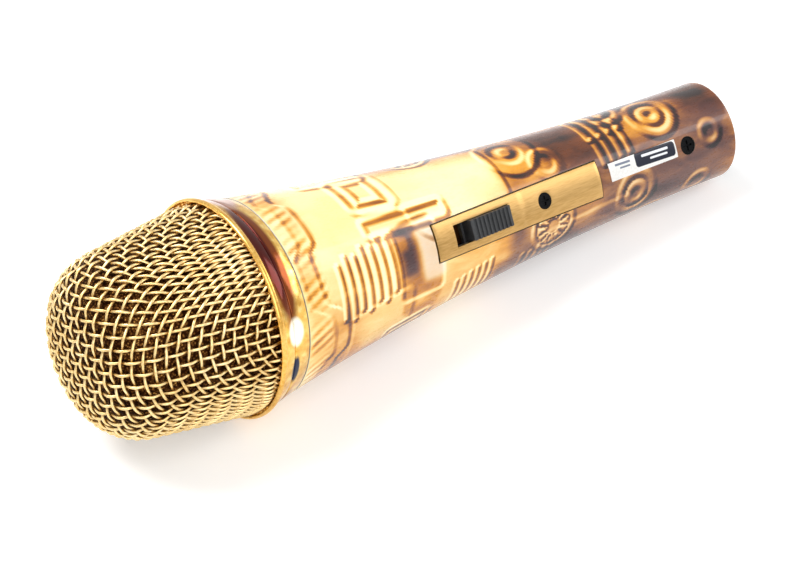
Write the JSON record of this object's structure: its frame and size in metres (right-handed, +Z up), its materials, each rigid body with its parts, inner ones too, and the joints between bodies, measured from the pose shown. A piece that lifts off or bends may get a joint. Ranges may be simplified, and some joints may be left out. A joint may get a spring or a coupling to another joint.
{
  "type": "handheld karaoke microphone",
  "caption": "Handheld dynamic karaoke microphone lying on its side: gold woven grille, flared printed handle, inlaid slide switch and three-pin tail socket.",
  "frame": {"origin": "on the surface that the microphone lies on, below the middle of its bounding box", "axes": "+Z up; the microphone's axis runs along X with the tail toward +X and the grille toward -X, rising 5.49 degrees to the grille because the flange is wider than the tail; the switch faces -Y and 31.4 degrees up"},
  "size_m": [0.1914, 0.054, 0.0538],
  "materials": {
    "printed_handle": "die-cast shell, printed and gloss lacquered",
    "label_lacquer": "navy lacquered strip with white bars and a pale edge",
    "satin_gold": "satin gold anodised look, fine lengthwise brushing",
    "black_screw": "blackened steel screw",
    "plain_steel": "zinc plated sheet steel",
    "black_housing": "moulded black nylon",
    "board": "phenolic board",
    "terminal_brass": "tinned brass terminals",
    "slider_plastic": "dark grey moulded knob with fine ribs",
    "insert_plastic": "black glass-filled nylon",
    "contact_plating": "nickel or silver plated contact pins",
    "shock_rubber": "soft black rubber",
    "capsule_plastic": "black ABS",
    "yoke_steel": "turned mild steel",
    "magnet_metal": "sintered magnet",
    "coil_wire": "enamelled winding",
    "film": "clear polyester film",
    "felt": "acoustic felt",
    "wire_red": "red insulated wire",
    "wire_white": "white insulated wire",
    "wire_green": "green insulated wire",
    "gold_collar": "polished gold plating with a lacquer coat",
    "gold_rim": "polished pale gold plating",
    "woven_wire": "pale gold plated woven steel wire",
    "liner_gauze": "fine golden brown gauze",
    "windscreen_foam": "open-cell foam"
  },
  "bodies": {
    "handle": {"handle_body": "printed_handle", "label_badge": "label_lacquer", "switch_plate": "satin_gold", "plate_screw": "black_screw", "switch_bracket": "plain_steel", "bracket_screws": "plain_steel", "switch_housing": "black_housing", "switch_base": "board", "switch_terminals": "terminal_brass", "xlr_insert": "insert_plastic", "contact_pin_1": "contact_plating", "contact_pin_2": "contact_plating", "contact_pin_3": "contact_plating", "ground_spring": "terminal_brass", "insert_screw": "black_screw", "shock_ring": "shock_rubber", "capsule_housing": "capsule_plastic", "terminal_board": "board", "capsule_terminals": "terminal_brass", "magnet_yoke": "yoke_steel", "magnet": "magnet_metal", "pole_plate": "yoke_steel", "diaphragm_clamp": "terminal_brass", "capsule_felt": "felt", "capsule_cap": "capsule_plastic", "lead_capsule_hot": "wire_red", "lead_capsule_return": "wire_white", "lead_pin_hot": "wire_red", "lead_pin_return": "wire_white", "lead_ground": "wire_green"},
    "slider": {"switch_slider": "slider_plastic", "switch_contact": "terminal_brass"},
    "windscreen": {"foam_windscreen": "windscreen_foam"},
    "grille": {"grille_collar": "gold_collar", "grille_flange": "gold_rim", "grille_mesh": "woven_wire", "grille_liner": "liner_gauze", "grille_clamp": "plain_steel"},
    "diaphragm": {"diaphragm": "film", "voice_coil": "coil_wire"}
  },
  "joints": [
    {"name": "switch_slide", "type": "slide", "parent": "handle", "child": "slider", "axis": [-0.9857, -0.0841, 0.1463], "range_m": [0, 0.0045]},
    {"name": "grille_lift", "type": "slide", "parent": "handle", "child": "windscreen", "axis": [-0.9954, 0, 0.0956], "range_m": [0, 0.0063]},
    {"name": "grille_turn", "type": "hinge", "parent": "windscreen", "child": "grille", "pos_m": [-0.04681, 0, 0.02607], "axis": [-0.9954, 0, 0.0956], "range_deg": [0, 1800]},
    {"name": "diaphragm_travel", "type": "slide", "parent": "handle", "child": "diaphragm", "axis": [-0.9954, 0, 0.0956], "range_m": [-0.0003, 0.0003], "stiffness_N_per_m": 45}
  ],
  "couplings": [
    {"joint": "grille_lift", "follows": "grille_turn", "m_per_rad": 0.00019894}
  ]
}
